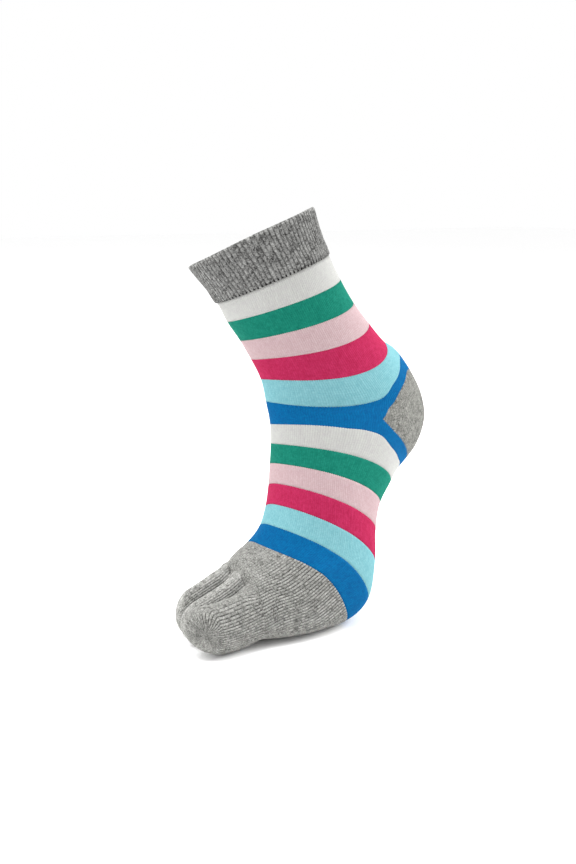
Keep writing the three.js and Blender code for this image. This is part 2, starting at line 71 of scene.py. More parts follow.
# Rings from the cuff's rim to the toe roots: x as shares of the length, z and drop of the height,
# half widths of the width, sag of the length, roll in degrees, square an exponent, slant a slope.
# They are the solids' rings, but heel_high sags a little more, so that the fine skin keeps free of folds.
RING_COLUMNS = (
    "front_x", "front_z", "back_x", "back_z", "inner", "outer",
    "sag", "sag_at", "roll", "square", "drop", "slant",
)
RINGS = {
    "cuff_rim": (-0.228, 0.892, 0.134, 1.014, 0.456, 0.456, 0, 0.65, 16, 2, 0, 0),
    "cuff_end": (-0.148, 0.805, 0.178, 0.902, 0.439, 0.439, 0, 0.65, 12.5, 2, 0, 0),
    "leg_green": (-0.122, 0.757, 0.215, 0.848, 0.428, 0.428, 0.02, 0.65, 11, 2, 0, 0),
    "leg_pink": (-0.085, 0.708, 0.26, 0.794, 0.417, 0.417, 0.035, 0.65, 9.5, 2, 0, 0),
    "leg_magenta": (-0.054, 0.66, 0.317, 0.744, 0.406, 0.406, 0.06, 0.65, 8, 2, 0, 0),
    "leg_aqua": (-0.03, 0.609, 0.38, 0.694, 0.394, 0.394, 0.115, 0.72, 6, 2, 0, 0),
    "ankle_top": (-0.022, 0.552, 0.44, 0.668, 0.383, 0.383, 0.19, 0.77, 3, 1.8, 0, 0),
    "heel_high": (-0.022, 0.54, 0.491, 0.604, 0.383, 0.383, 0.11, 0.72, 3.5, 2.1, 0, 0),
    "heel_back": (-0.022, 0.529, 0.527, 0.54, 0.383, 0.383, 0.03, 0.65, 4, 2.2, 0, 0),
    "heel_round": (-0.023, 0.52, 0.534, 0.472, 0.383, 0.383, -0.02, 0.65, 5, 2.2, 0, 0),
    "heel_low": (-0.025, 0.511, 0.493, 0.392, 0.383, 0.383, -0.07, 0.65, 6, 2.1, 0, 0),
    "ankle_end": (-0.027, 0.501, 0.418, 0.322, 0.383, 0.383, -0.13, 0.7, 9, 1.7, 0, 0),
    "foot_green": (-0.026, 0.452, 0.367, 0.294, 0.383, 0.383, -0.08, 0.7, 8, 2, 0, 0),
    "foot_pink": (-0.029, 0.403, 0.315, 0.243, 0.394, 0.394, -0.055, 0.65, 9, 2.1, 0, 0),
    "foot_magenta": (-0.034, 0.353, 0.282, 0.178, 0.417, 0.417, -0.045, 0.65, 9, 2.2, 0.008, 0),
    "foot_aqua": (-0.046, 0.302, 0.26, 0.09, 0.444, 0.45, -0.058, 0.65, 8, 2.3, 0.016, 0),
    "foot_blue": (-0.074, 0.255, 0.198, 0.01, 0.467, 0.467, -0.092, 0.62, 5, 3.2, 0.032, 0.04),
    "forefoot": (-0.12, 0.214, 0.105, 0, 0.483, 0.456, -0.09, 0.42, 0, 4.8, 0.052, 0.1),
    "ball": (-0.165, 0.2, 0, 0, 0.489, 0.478, -0.01, 0.65, 0, 4, 0.06, 0.2),
    "toe_roots": (-0.188, 0.185, -0.13, 0, 0.467, 0.489, 0, 0.65, 0, 3.4, 0.056, 0.3),
}
RING_NAMES = list(RINGS)
WEB_PLACE = len(RINGS)
place_of = {name: float(index) for index, name in enumerate(RING_NAMES)}

WEB_RING = dict(
    front_x=-0.208, slant_from=0.045, inner=0.428, outer=0.494, square=3.0,
    peak_y=0.05, peak_height=0.163, inner_drop=0.028, outer_drop=0.1, middle=0.48,
)
WEBS = (-0.19, -0.005, 0.172, 0.339)

# Toe pockets, big toe first: tip as shares of the length, width and height, top and bottom at the middle
# and at the pad as shares of the height, the share where the round end starts, the bulge to the inner
# side as a share of the width, and how far, in degrees, the wales meet to the inner side of the tip
TOE_COLUMNS = ("tip", "middle", "pad", "cap", "bulge", "swirl")
TOE_ROWS = (
    ((-0.443, -0.3, 0.08), (0.131, 0.001), (0.124, 0.008), 0.64, 0.036, 55),
    ((-0.406, -0.096, 0.056), (0.131, 0.01), (0.111, 0.002), 0.66, 0.0, 0),
    ((-0.38, 0.083, 0.052), (0.14, 0.014), (0.119, 0.002), 0.76, 0.0, 0),
    ((-0.33, 0.256, 0.046), (0.1, 0.012), (0.082, 0.002), 0.76, 0.0, 0),
    ((-0.27, 0.415, 0.042), (0.085, 0.008), (0.068, 0.002), 0.72, 0.0, 0),
)
TOES = [dict(zip(TOE_COLUMNS, row)) for row in TOE_ROWS]
TOE_MIDDLE = 0.35  # of the way from root to tip, as are the next two
TOE_PAD = 0.7
TOE_ROUND_BY = 0.24

# The heel pocket starts at the sides of the ankle and opens towards the back; places are ring places
HEEL_APEX_SHARE = 86 / 360  # of the way round
HEEL_APEX_PLACE = 9.2
HEEL_TOP_PLACE = 6.25
HEEL_TOP_DIP = 0.45  # how much lower its top edge runs at the back
HEEL_END_PLACE = 10.55
HEEL_TOP_REACH = 0.101  # of the way from the side to the back
HEEL_TOP_POWER = 1.4
HEEL_END_POWER = 7
HEEL_TEETH = 0.035  # in ring places
HEEL_TEETH_FROM = 0.1  # of the way that the end opens
HEEL_DIP_FROM = 0.45  # of the way from the side to the back
HEEL_DIP_OVER = 0.3

# Where a stripe's edge strays from its ring: middle, half width and soft end in degrees from the front,
# and the shift in ring places
EDGE_STRAYS = {
    "ankle_top": ((120, 37, 25, -0.24),),
    "ankle_end": ((78, 19, 16, -0.25), (115, 26, 18, 0.14)),
}

# The knit: wales run along the sock, courses go round it, and the tube's mesh has this many columns
COLUMNS = 800
RIBS = 100
BAND_WALES = 200
HEEL_WALES = 160
TOE_WALE_PITCH = 1.8
COURSE_PITCH = 1.1
FOREFOOT_WALES = 128
RIB_DEPTH = 0.65
RIB_WANDER = 0.16  # in ribs
BAND_WALE_DEPTH = 0.06
HEEL_WALE_DEPTH = 0.12
FOREFOOT_WALE_DEPTH = 0.34
TOP_WALE_SHARE = 0.25  # of that depth where the knit faces up or down instead of sideways
SIDE_FROM = 0.3  # sideways share of the outward direction
SIDE_OVER = 0.5
EDGE_ZIGZAG = 0.18  # in millimetres, of the stitches along a stripe's edge
INNER_ROWS = 4
ARC_SAMPLES = 8  # for each column
SLOPE_STEP = 0.02  # in ring places, as is the next one
LENGTH_STEP = 0.05
TINY = 1e-6

# Soft unevenness of the knit: its depth in millimetres, and in each NOISE a wave length and a seed
NOISE_WAVES = 6
NOISE_SPREAD = (0.7, 1.5)
UNEVEN = 0.25
UNEVEN_NOISE = (26.0, 3)


def signed_power(value, power):
    return np.sign(value) * np.abs(value) ** power


def smooth_step(value):
    share = np.clip(value, 0.0, 1.0)
    return share * share * (3 - 2 * share)


def lean_at(height):
    share = max(height, 0.0) / SOCK_HEIGHT
    return math.radians(LEAN_DEGREES) * SOCK_HEIGHT * share ** LEAN_POWER / LEAN_POWER


def ring_points(name, angle):
    """Points of one ring for an array of angles, 0 in front, a quarter turn on the inner side."""
    ring = dict(zip(RING_COLUMNS, RINGS[name]))
    plain_share = (1 - np.cos(angle)) / 2
    backness = np.clip((plain_share - SQUARE_FROM) / SQUARE_OVER, 0, 1)
    power = 2 / (2 + (ring["square"] - 2) * backness)
    across = signed_power(np.sin(angle), power)
    share = (1 - signed_power(np.cos(angle), power)) / 2
    half_width = SOCK_WIDTH * np.where(across > 0, ring["inner"], ring["outer"])
    front = np.array([ring["front_x"] * SOCK_LENGTH, ring["front_z"] * SOCK_HEIGHT])
    back = np.array([ring["back_x"] * SOCK_LENGTH, ring["back_z"] * SOCK_HEIGHT])
    chord = back - front
    down = np.array([chord[1], -chord[0]]) / np.hypot(*chord)
    handle = front + chord * ring["sag_at"] + down * ring["sag"] * SOCK_LENGTH
    near, mid, far = (1 - share) ** 2, 2 * share * (1 - share), share ** 2
    x = near * front[0] + mid * handle[0] + far * back[0]
    z = near * front[1] + mid * handle[1] + far * back[1]
    sideways = -half_width * across
    outer_share = np.maximum(sideways / half_width, 0)
    drop = ring["drop"] * SOCK_HEIGHT * outer_share ** DROP_SIDE_POWER * (1 - share) ** DROP_TOP_POWER
    roll = math.radians(ring["roll"])
    return np.stack([
        x + ring["slant"] * np.maximum(sideways, 0),
        lean_at((front[1] + back[1]) / 2) + sideways * math.cos(roll),
        z - drop - sideways * math.sin(roll),
    ], axis=-1)


def web_x(y):
    past_start = np.maximum(y - WEB_RING["slant_from"] * SOCK_WIDTH, 0)
    return WEB_RING["front_x"] * SOCK_LENGTH + WEB_SLANT * past_start


def web_top(y):
    place = y / SOCK_WIDTH - WEB_RING["peak_y"]
    outer_reach = WEB_RING["outer"] - WEB_RING["peak_y"]
    inner_reach = WEB_RING["inner"] + WEB_RING["peak_y"]
    drop = np.where(
        place > 0,
        WEB_RING["outer_drop"] * (place / outer_reach) ** 2,
        WEB_RING["inner_drop"] * (place / inner_reach) ** 2,
    )
    return SOCK_HEIGHT * (WEB_RING["peak_height"] - drop)


def web_furrow(y):
    return sum(np.exp(-((y - web * SOCK_WIDTH) / WEB_CREASE_WIDTH) ** 2) for web in WEBS)


def web_ring_points(angle):
    power = 2 / WEB_RING["square"]
    across = signed_power(np.sin(angle), power)
    upward = signed_power(np.cos(angle), power)
    y = -across * SOCK_WIDTH * np.where(across > 0, WEB_RING["inner"], WEB_RING["outer"])
    top = web_top(y)
    middle = top * WEB_RING["middle"]
    reach = np.where(upward > 0, top - middle, middle) - WEB_CREASE_DEPTH * web_furrow(y)
    return np.stack([web_x(y), y, middle + reach * upward], axis=-1)


def web_angle(y):
    half_width = SOCK_WIDTH * (WEB_RING["inner"] if y < 0 else WEB_RING["outer"])
    return math.asin(-signed_power(min(max(y / half_width, -1), 1), WEB_RING["square"] / 2))


def even_angles(points_at, columns):
    """Angles that cut a ring into even lengths, starting in front."""
    angle = np.linspace(0, 2 * np.pi, ARC_SAMPLES * columns + 1)
    points = points_at(angle)
    lengths = np.concatenate([[0], np.cumsum(np.linalg.norm(np.diff(points, axis=0), axis=1))])
    return np.interp(np.arange(columns) / columns * lengths[-1], lengths, angle)


def tube_stations(columns):
    """Points of every ring in wale columns: even angles at the ankle and even lengths at the toes."""
    plain = np.arange(columns) / columns * 2 * np.pi
    stations = []
    first_even = place_of["foot_green"]
    for index, name in enumerate(RING_NAMES):
        blend = smooth_step((index - first_even) / (place_of["forefoot"] - first_even))
        angle = plain
        if blend > 0:
            angle = plain + blend * (even_angles(lambda a: ring_points(name, a), columns) - plain)
        stations.append(ring_points(name, angle))
    stations.append(web_ring_points(even_angles(web_ring_points, columns)))
    return np.array(stations)


STATIONS = tube_stations(COLUMNS)


def spline_points(place, column_index):
    """The outer skin by centripetal Catmull-Rom through the rings, for arrays of one shape."""
    def at(ring):
        return STATIONS[np.clip(ring, 0, WEB_PLACE), column_index]

    def knot(first, second):
        return np.sqrt(np.linalg.norm(second - first, axis=-1, keepdims=True)) + TINY

    def slope(first, middle, last, into, out):
        return ((middle - first) / into - (last - first) / (into + out) + (last - middle) / out) * step

    index = np.clip(np.floor(place).astype(int), 0, WEB_PLACE - 1)
    share = (place - index)[..., None]
    start, end = at(index), at(index + 1)
    before = np.where((index > 0)[..., None], at(index - 1), 2 * start - end)
    after = np.where((index + 2 <= WEB_PLACE)[..., None], at(index + 2), 2 * end - start)
    step_in, step, step_out = knot(before, start), knot(start, end), knot(end, after)
    start_slope = slope(before, start, end, step_in, step)
    end_slope = slope(start, end, after, step, step_out)
    squared, cubed = share ** 2, share ** 3
    return (
        start * (2 * cubed - 3 * squared + 1) + start_slope * (cubed - 2 * squared + share)
        + end * (3 * squared - 2 * cubed) + end_slope * (cubed - squared)
    )


def unit(vectors):
    return vectors / np.maximum(np.linalg.norm(vectors, axis=-1, keepdims=True), TINY)


def tube(place, column_index):
    """Points and outward directions of the tube at arrays of ring places and columns."""
    points = spline_points(place, column_index)
    low = np.maximum(place - SLOPE_STEP, 0)
    high = np.minimum(place + SLOPE_STEP, WEB_PLACE)
    along = unit(spline_points(high, column_index) - spline_points(low, column_index))
    toeward = np.array([-1.0, 0.0, 0.0])
    blend = smooth_step(place + 1 - WEB_PLACE)[..., None]
    along = along * (1 - blend) + toeward * blend
    ahead = spline_points(place, (column_index + 1) % COLUMNS)
    behind = spline_points(place, (column_index - 1) % COLUMNS)
    return points, unit(np.cross(along, ahead - behind))


def to_frame(points):
    """From the tables' millimetres to the row's metres, with the ankle's centre as origin."""
    ankle = np.array([ANKLE_X * SOCK_LENGTH, lean_at(ANKLE_Z * SOCK_HEIGHT), ANKLE_Z * SOCK_HEIGHT])
    return (points - ankle) * METRE


def make_piece(name, points, quads, coords, wales, node, material, slot):
    """A mesh from vertices, quads and each vertex's wale and course; wales is how many go round it."""
    mesh = bpy.data.meshes.new(name)
    mesh.vertices.add(len(points))
    mesh.vertices.foreach_set("co", to_frame(points).astype(np.float32).ravel())
    quads = np.asarray(quads, dtype=np.int32)
    mesh.loops.add(quads.size)
    mesh.loops.foreach_set("vertex_index", quads.ravel())
    mesh.polygons.add(len(quads))
    mesh.polygons.foreach_set("loop_start", np.arange(0, quads.size, 4, dtype=np.int32))
    mesh.polygons.foreach_set("use_smooth", np.ones(len(quads), dtype=bool))
    mesh.update(calc_edges=True)
    layer = mesh.uv_layers.new(name="knit")
    loop_coords = coords[quads.ravel()].reshape(-1, 4, 2)
    # A quad that crosses the seam keeps its wales in one run
    wale = loop_coords[:, :, 0]
    crosses = wale.max(axis=1, keepdims=True) - wale > wales / 2
    loop_coords[:, :, 0] = np.where(crosses, wale + wales, wale)
    layer.data.foreach_set("uv", loop_coords.astype(np.float32).ravel())
    mesh.validate()
    piece = bpy.data.objects.new(name, mesh)
    bpy.context.scene.collection.objects.link(piece)
    mesh.materials.append(material)
    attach(piece, "root")
    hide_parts(node)
    return piece


def grid_quads(rows, columns, offset, closed, flip):
    """Quads of a grid of vertices that may close on itself."""
    across = columns if closed else columns - 1
    row, column = np.meshgrid(np.arange(rows - 1), np.arange(across), indexing="ij")
    nxt = (column + 1) % columns
    a = offset + row * columns + column
    b = offset + (row + 1) * columns + column
    c = offset + (row + 1) * columns + nxt
    d = offset + row * columns + nxt
    quads = np.stack([a, b, c, d], axis=-1).reshape(-1, 4)
    return quads[:, ::-1] if flip else quads


def rim_quads(first, second, closed):
    """Quads between two lines of vertices."""
    first, second = np.asarray(first), np.asarray(second)
    if closed:
        first, second = np.append(first, first[0]), np.append(second, second[0])
    return np.stack([first[:-1], second[:-1], second[1:], first[1:]], axis=-1)


def shell(outer, outer_coords, inner, inner_coords):
    """Vertices, quads and coordinates of a tube wall: outer and inner grids that close on themselves."""
    rows, columns = outer.shape[:2]
    inner_rows = inner.shape[0]
    points = np.concatenate([outer.reshape(-1, 3), inner.reshape(-1, 3)])
    coords = np.concatenate([outer_coords.reshape(-1, 2), inner_coords.reshape(-1, 2)])
    base = rows * columns
    line = np.arange(columns)
    quads = [
        grid_quads(rows, columns, 0, True, False),
        grid_quads(inner_rows, columns, base, True, True),
        rim_quads(base + line, line, True),
        rim_quads(line + (rows - 1) * columns, base + (inner_rows - 1) * columns + line, True),
    ]
    return points, np.concatenate(quads), coords


def stitch_wave():
    """The V of each stitch along a course, from -1 to 1, per column."""
    wale = np.arange(COLUMNS) * BAND_WALES / COLUMNS
    return np.abs(wale - np.floor(wale) - 0.5) * 4 - 1


def place_length(place):
    """Millimetres along the sock for one ring place, per column."""
    columns = np.arange(COLUMNS)
    low = np.full(COLUMNS, max(place - LENGTH_STEP, 0.0))
    high = np.full(COLUMNS, min(place + LENGTH_STEP, float(WEB_PLACE)))
    gap = np.linalg.norm(spline_points(high, columns) - spline_points(low, columns), axis=-1)
    return np.maximum(gap / (high - low), 1.0)


def edge_place(name):
    """A stripe's edge as ring places, the same for the stripes on both sides of it."""
    ring = place_of[name]
    place = np.full(COLUMNS, ring)
    if name == "cuff_end":
        return place
    turn = np.arange(COLUMNS) / COLUMNS * 360
    from_front = np.minimum(turn, 360 - turn)
    for middle, half_width, soft_end, shift in EDGE_STRAYS.get(name, ()):
        place += shift * smooth_step((half_width - np.abs(from_front - middle)) / soft_end)
    return place + EDGE_ZIGZAG * stitch_wave() / place_length(ring)


def knit_noise(points, wave_length, seed):
    """Soft unevenness from -1 to 1, from a few waves with fixed directions."""
    random = np.random.default_rng(seed)
    total = np.zeros(points.shape[:-1])
    for wave in range(NOISE_WAVES):
        direction = unit(random.normal(size=3)[None])[0]
        phase = random.uniform(0, 2 * np.pi)
        length = wave_length * random.uniform(*NOISE_SPREAD)
        total += np.sin(points @ direction * 2 * np.pi / length + phase)
    return total / NOISE_WAVES


def ridge_height(wale):
    """Rounded wales with a narrow valley at each whole number, from -0.5 to 0.5."""
    return np.sqrt(np.abs(np.sin(np.pi * wale))) - 0.5


def side_share(outward):
    """How far a surface faces sideways, where the stretched knit shows its wales most."""
    sideways = smooth_step((np.abs(outward[..., 1]) - SIDE_FROM) / SIDE_OVER)
    return TOP_WALE_SHARE + (1 - TOP_WALE_SHARE) * sideways


def knit_coords(wale, course, shape):
    """The knit coordinate at each vertex of a grid."""
    return np.stack([np.broadcast_to(wale, shape), np.broadcast_to(course, shape)], axis=-1)


def tube_piece(name, start, end, rows, wales, depth, courses, node, material, slot):
    """A wall of the tube between two edges, with its wales in relief."""
    columns = np.arange(COLUMNS)
    share = np.linspace(0, 1, rows + 1)[:, None]
    place = start + (end - start) * share
    points, outward = tube(place, np.broadcast_to(columns, place.shape))
    wale = columns * wales / COLUMNS
    relief = depth * side_share(outward) * ridge_height(wale) + UNEVEN * knit_noise(points, *UNEVEN_NOISE)
    outer = points + outward * relief[..., None]
    coords = knit_coords(wale, share * courses, place.shape)
    inner_share = np.linspace(0, 1, INNER_ROWS)[:, None]
    inner_place = start + (end - start) * inner_share
    inner_points, inner_outward = tube(inner_place, np.broadcast_to(columns, inner_place.shape))
    inner = inner_points - inner_outward * KNIT_WALL
    inner_coords = knit_coords(wale, inner_share * courses, inner_place.shape)
    return make_piece(name, *shell(outer, coords, inner, inner_coords), wales, node, material, slot)


# Materials

def math_node(tree, operation, first, second=None):
    made = tree.nodes.new("ShaderNodeMath")
    made.operation = operation
    for socket, value in zip(made.inputs, (first, second)):
        if value is None:
            continue
        if isinstance(value, (int, float)):
            socket.default_value = value
        else:
            tree.links.new(value, socket)
    return made.outputs[0]


def linear(colour):
    """sRGB of 0 to 255 to the linear colour that a shader takes."""
    shares = np.array(colour) / 255.0
    return (*np.where(shares <= 0.04045, shares / 12.92, ((shares + 0.055) / 1.055) ** 2.4), 1.0)


def noise_node(tree, vector, scale, detail=2.0, dimensions="3D"):
    noise = tree.nodes.new("ShaderNodeTexNoise")
    noise.noise_dimensions = dimensions
    noise.inputs["Scale"].default_value = scale
    noise.inputs["Detail"].default_value = detail
    tree.links.new(vector, noise.inputs["Vector"])
    return noise.outputs[0]


def range_node(tree, value, low, high, to_low, to_high, smooth=False):
    made = tree.nodes.new("ShaderNodeMapRange")
    if smooth:
        made.interpolation_type = "SMOOTHSTEP"
    for name, number in (("From Min", low), ("From Max", high), ("To Min", to_low), ("To Max", to_high)):
        made.inputs[name].default_value = number
    tree.links.new(value, made.inputs["Value"])
    return made.outputs[0]


def vector_node(tree, x, y):
    made = tree.nodes.new("ShaderNodeCombineXYZ")
    tree.links.new(x, made.inputs[0])
    tree.links.new(y, made.inputs[1])
    return made.outputs[0]


def mix_node(tree, factor, first, second, blend="MIX"):
    made = tree.nodes.new("ShaderNodeMix")
    made.data_type = "RGBA"
    made.blend_type = blend
    for index, value in ((0, factor), (6, first), (7, second)):
        if isinstance(value, (int, float, tuple)):
            made.inputs[index].default_value = value
        else:
            tree.links.new(value, made.inputs[index])
    return made.outputs[2]


# Ranges of the knit's textures: two numbers to read from, and the two that they turn into
WALE_GROOVE = (0.2, 0.47, 0.0, 1.0)  # from a wale's middle to the groove at its side
GROOVE_BREAKS = (0.35, 0.6, 0.35, 1.0)  # noise that breaks the grooves into dashes
SIDE_FACING = (0.25, 0.7, 0.2, 1.0)  # grooves fade where the knit doesn't face sideways
UP_FACING = (-0.45, 0.1, 0.3, 1.0)  # and where it faces down
LOOP_HEIGHT = (0.0, 1.0, 0.8, 1.0)
RIM_PAINTED_HIGHLIGHT = (0.0, 1.2, 1.3, 1.0)  # courses next to the cuff's rim, which get a painted highlight
RIB_GAP_PAINTED_SHADE = (0.2, 0.36, 0.0, 1.0)  # from a rib's middle to the gap at its side, where painted shade falls at the cuff's end
LOOP_POWER = 0.5
FUZZ_SHARE = 0.5
BUMP_DISTANCE = 0.0003
FUZZ_PER_METRE = 2600
FIBRES_PER_METRE = 1250
CLOUDS_PER_METRE = 210
WALE_SHIFT = 7.31  # between wales in the noise, so that each has its own stitches
DASHES_PER_COURSE = 0.6
KNIT_ROUGHNESS = 0.9
KNIT_SPECULAR = 0.06
SHEEN_WEIGHT = 0.8
SHEEN_ROUGHNESS = 0.3


def multiply_nodes(tree, first, second):
    return math_node(tree, "MULTIPLY", first, second)


def groove_node(tree, wale, across, along, side_only):
    """Depth of the grooves between the wales, from 0 to 1."""
    groove = range_node(tree, across, *WALE_GROOVE, smooth=True)
    own_groove = multiply_nodes(tree, math_node(tree, "ROUND", wale), WALE_SHIFT)
    breaks = noise_node(tree, vector_node(tree, own_groove, along), 1.0, 1.0, "2D")
    groove = multiply_nodes(tree, groove, range_node(tree, breaks, *GROOVE_BREAKS))
    if side_only:
        facing = tree.nodes.new("ShaderNodeSeparateXYZ")
        tree.links.new(tree.nodes.new("ShaderNodeNewGeometry").outputs["Normal"], facing.inputs[0])
        sideways = math_node(tree, "ABSOLUTE", facing.outputs[1])
        sideways = range_node(tree, sideways, *SIDE_FACING, smooth=True)
        upward = range_node(tree, facing.outputs[2], *UP_FACING, smooth=True)
        groove = multiply_nodes(tree, groove, multiply_nodes(tree, sideways, upward))
    return groove


def tone_node(tree, wale, along, place, shares, spread):
    """Dark to light yarn from 0 to 1, by single stitches, fibres and soft clouds in the given shares.
    Single stitches follow their wale, so light and dark yarn shows as short dashes along it."""
    own_wale = multiply_nodes(tree, math_node(tree, "FLOOR", wale), WALE_SHIFT)
    parts = (
        noise_node(tree, vector_node(tree, own_wale, along), 1.0, 2.0, "2D"),
        noise_node(tree, place, FIBRES_PER_METRE),
        noise_node(tree, place, CLOUDS_PER_METRE),
    )
    mixed = None
    for part, share in zip(parts, shares):
        weighed = multiply_nodes(tree, part, share)
        mixed = weighed if mixed is None else math_node(tree, "ADD", mixed, weighed)
    return range_node(tree, mixed, 0.5 - spread, 0.5 + spread, 0.0, 1.0)


def cuff_edges_node(tree, course, across, dashes):
    """Painted light at the cuff's two edges: a painted highlight on the rim, and painted shade as dark
    dashes in the gaps between the ribs at the other end.
    """
    first, last, depth = dashes
    # Painted highlight on the courses next to the rim
    rim = range_node(tree, course, *RIM_PAINTED_HIGHLIGHT)
    # Painted shade in the gaps between the ribs near the cuff's end
    near_end = range_node(tree, course, first, last, 0.0, depth, smooth=True)
    gap = multiply_nodes(tree, near_end, range_node(tree, across, *RIB_GAP_PAINTED_SHADE, smooth=True))
    return multiply_nodes(tree, rim, math_node(tree, "SUBTRACT", 1.0, gap))


def knit_material(name, dark, light, groove, stitch, shares, spread, bump, side_only=False, dashes=None):
    """Knit in a coordinate of wales and courses: V stitches, grooves between the wales, and yarn
    that varies from dark to light, with painted shade in the grooves and between the stitch loops. groove
    and stitch are what this painted shade leaves of the colour."""
    material = bpy.data.materials.new(name)
    material.use_nodes = True
    tree = material.node_tree
    shader = tree.nodes["Principled BSDF"]
    uv = tree.nodes.new("ShaderNodeUVMap")
    uv.uv_map = "knit"
    split = tree.nodes.new("ShaderNodeSeparateXYZ")
    tree.links.new(uv.outputs[0], split.inputs[0])
    wale, course = split.outputs[0], split.outputs[1]
    place = tree.nodes.new("ShaderNodeTexCoord").outputs["Object"]

    across = math_node(tree, "SUBTRACT", math_node(tree, "FRACT", wale), 0.5)
    across = math_node(tree, "ABSOLUTE", across)
    slanted = math_node(tree, "ADD", course, across)
    along = multiply_nodes(tree, slanted, DASHES_PER_COURSE)
    loop = math_node(tree, "SINE", multiply_nodes(tree, slanted, math.pi))
    loop = math_node(tree, "POWER", math_node(tree, "ABSOLUTE", loop), LOOP_POWER)
    valley = groove_node(tree, wale, across, along, side_only)

    ridge = math_node(tree, "SUBTRACT", 1.0, valley)
    height = multiply_nodes(tree, ridge, range_node(tree, loop, *LOOP_HEIGHT))
    fuzz = multiply_nodes(tree, noise_node(tree, place, FUZZ_PER_METRE), FUZZ_SHARE)
    relief = tree.nodes.new("ShaderNodeBump")
    relief.inputs["Strength"].default_value = bump
    relief.inputs["Distance"].default_value = BUMP_DISTANCE
    tree.links.new(math_node(tree, "ADD", height, fuzz), relief.inputs["Height"])
    tree.links.new(relief.outputs[0], shader.inputs["Normal"])

    tone = tone_node(tree, wale, along, place, shares, spread)
    yarn_colour = mix_node(tree, tone, linear(dark), linear(light))
    # Painted shade in the grooves between the wales and between the stitch loops; on the cuff also the
    # painted highlight and painted shade at its edges
    groove_shade = range_node(tree, valley, 0.0, 1.0, 1.0, groove)
    stitch_shade = range_node(tree, loop, 0.0, 1.0, stitch, 1.0)
    shade = multiply_nodes(tree, groove_shade, stitch_shade)
    if dashes:
        shade = multiply_nodes(tree, shade, cuff_edges_node(tree, course, across, dashes))
    # The painted light and shade as a grey, multiplied into the yarn's colour
    painted_light_grey = tree.nodes.new("ShaderNodeCombineColor")
    for channel in range(3):
        tree.links.new(shade, painted_light_grey.inputs[channel])
    shaded = mix_node(tree, 1.0, yarn_colour, painted_light_grey.outputs[0], "MULTIPLY")
    tree.links.new(shaded, shader.inputs["Base Color"])
    shader.inputs["Roughness"].default_value = KNIT_ROUGHNESS
    shader.inputs["Specular IOR Level"].default_value = KNIT_SPECULAR
    shader.inputs["Sheen Weight"].default_value = SHEEN_WEIGHT
    shader.inputs["Sheen Tint"].default_value = linear(light)
    shader.inputs["Sheen Roughness"].default_value = SHEEN_ROUGHNESS
    return material


# Dark and light of each yarn, in sRGB
YARN = {
    "white": ((158, 157, 156), (168, 169, 165)),
    "green": ((10, 95, 80), (23, 113, 95)),
    "pink": ((161, 137, 140), (172, 151, 153)),
    "magenta": ((145, 28, 63), (163, 40, 79)),
    "aqua": ((98, 148, 155), (114, 162, 169)),
    "blue": ((2, 73, 121), (2, 88, 136)),
}
YARN_SHARES = (0.4, 0.4, 0.2)
GREY_SHARES = (0.35, 0.45, 0.2)
RIB_SHARES = (0.3, 0.5, 0.2)
yarn = {
    name: knit_material(
        name + "_yarn", dark, light,
        groove=0.86, stitch=0.93, shares=YARN_SHARES, spread=0.12, bump=0.25,
    )
    for name, (dark, light) in YARN.items()
}
grey_knit = knit_material(
    "grey_melange", (78, 78, 75), (157, 157, 153),
    groove=0.16, stitch=0.92, shares=GREY_SHARES, spread=0.13, bump=0.5, side_only=True,
)
# The toes' copy of the grey melange: its lighter colours are painted light on the toes, and the painted
# shade in its grooves is weaker
grey_toe_painted_lighter = knit_material(
    "grey_toe_melange_painted_lighter", (90, 90, 87), (174, 174, 170),
    groove=0.5, stitch=0.92, shares=GREY_SHARES, spread=0.13, bump=0.5, side_only=True,
)
grey_heel = knit_material(
    "grey_heel_melange", (74, 74, 71), (142, 142, 137),
    groove=0.75, stitch=0.9, shares=GREY_SHARES, spread=0.13, bump=0.4,
)
# Courses where the painted shade in the gaps at the cuff's end begins and is full, and how dark it is
RIB_END_PAINTED_SHADE = (20.2, 21.4, 0.9)
grey_rib = knit_material(
    "grey_rib_melange", (53, 53, 52), (142, 142, 140),
    groove=0.42, stitch=0.9, shares=RIB_SHARES, spread=0.12, bump=0.5, dashes=RIB_END_PAINTED_SHADE,
)

# Cuff
CUFF_HEIGHT = 24.0
CUFF_COURSES = 22
CUFF_TUCK = 1.0  # how far the rim leans in at the front
CUFF_RIM_DROP = 0.4
CUFF_RIM_TILT = 1.6
CUFF_RIM_SHARE = 0.35  # of the cuff's height, how far down the rim's shape reaches
CUFF_ALONG = 0.1  # of the height, over which the cuff's direction is taken
CUFF_WAVE = 0.5
CUFF_WAVE_NOISE = (34.0, 8)
RIB_NOISE = (12.0, 21)
RIB_LEVEL = 0.3  # of the ribs' depth
RIB_INNER_DEPTH = 0.3
CUFF_UNEVEN = 0.3
CUFF_NOISE = (22.0, 5)
CUFF_STEPS = 5  # from one row of the profile to the next
# Down the double rib: share of its height, how proud it stands and how deep its ribs are
CUFF_PROFILE = (
    (0.0, -0.55, 0.0),
    (-0.02, -0.1, 0.1),
    (-0.028, 0.4, 0.2),
    (-0.015, 0.85, 0.35),
    (0.02, 1.05, 0.7),
    (0.07, 1.0, 1.0),
    (0.25, 0.55, 1.0),
    (0.45, 0.35, 1.0),
    (0.65, 0.5, 0.8),
    (0.82, 0.95, 0.8),
    (0.93, 1.0, 1.0),
    (0.975, 0.8, 1.3),
    (0.997, 0.3, 1.1),
    (1.0, -0.3, 0.6),
)


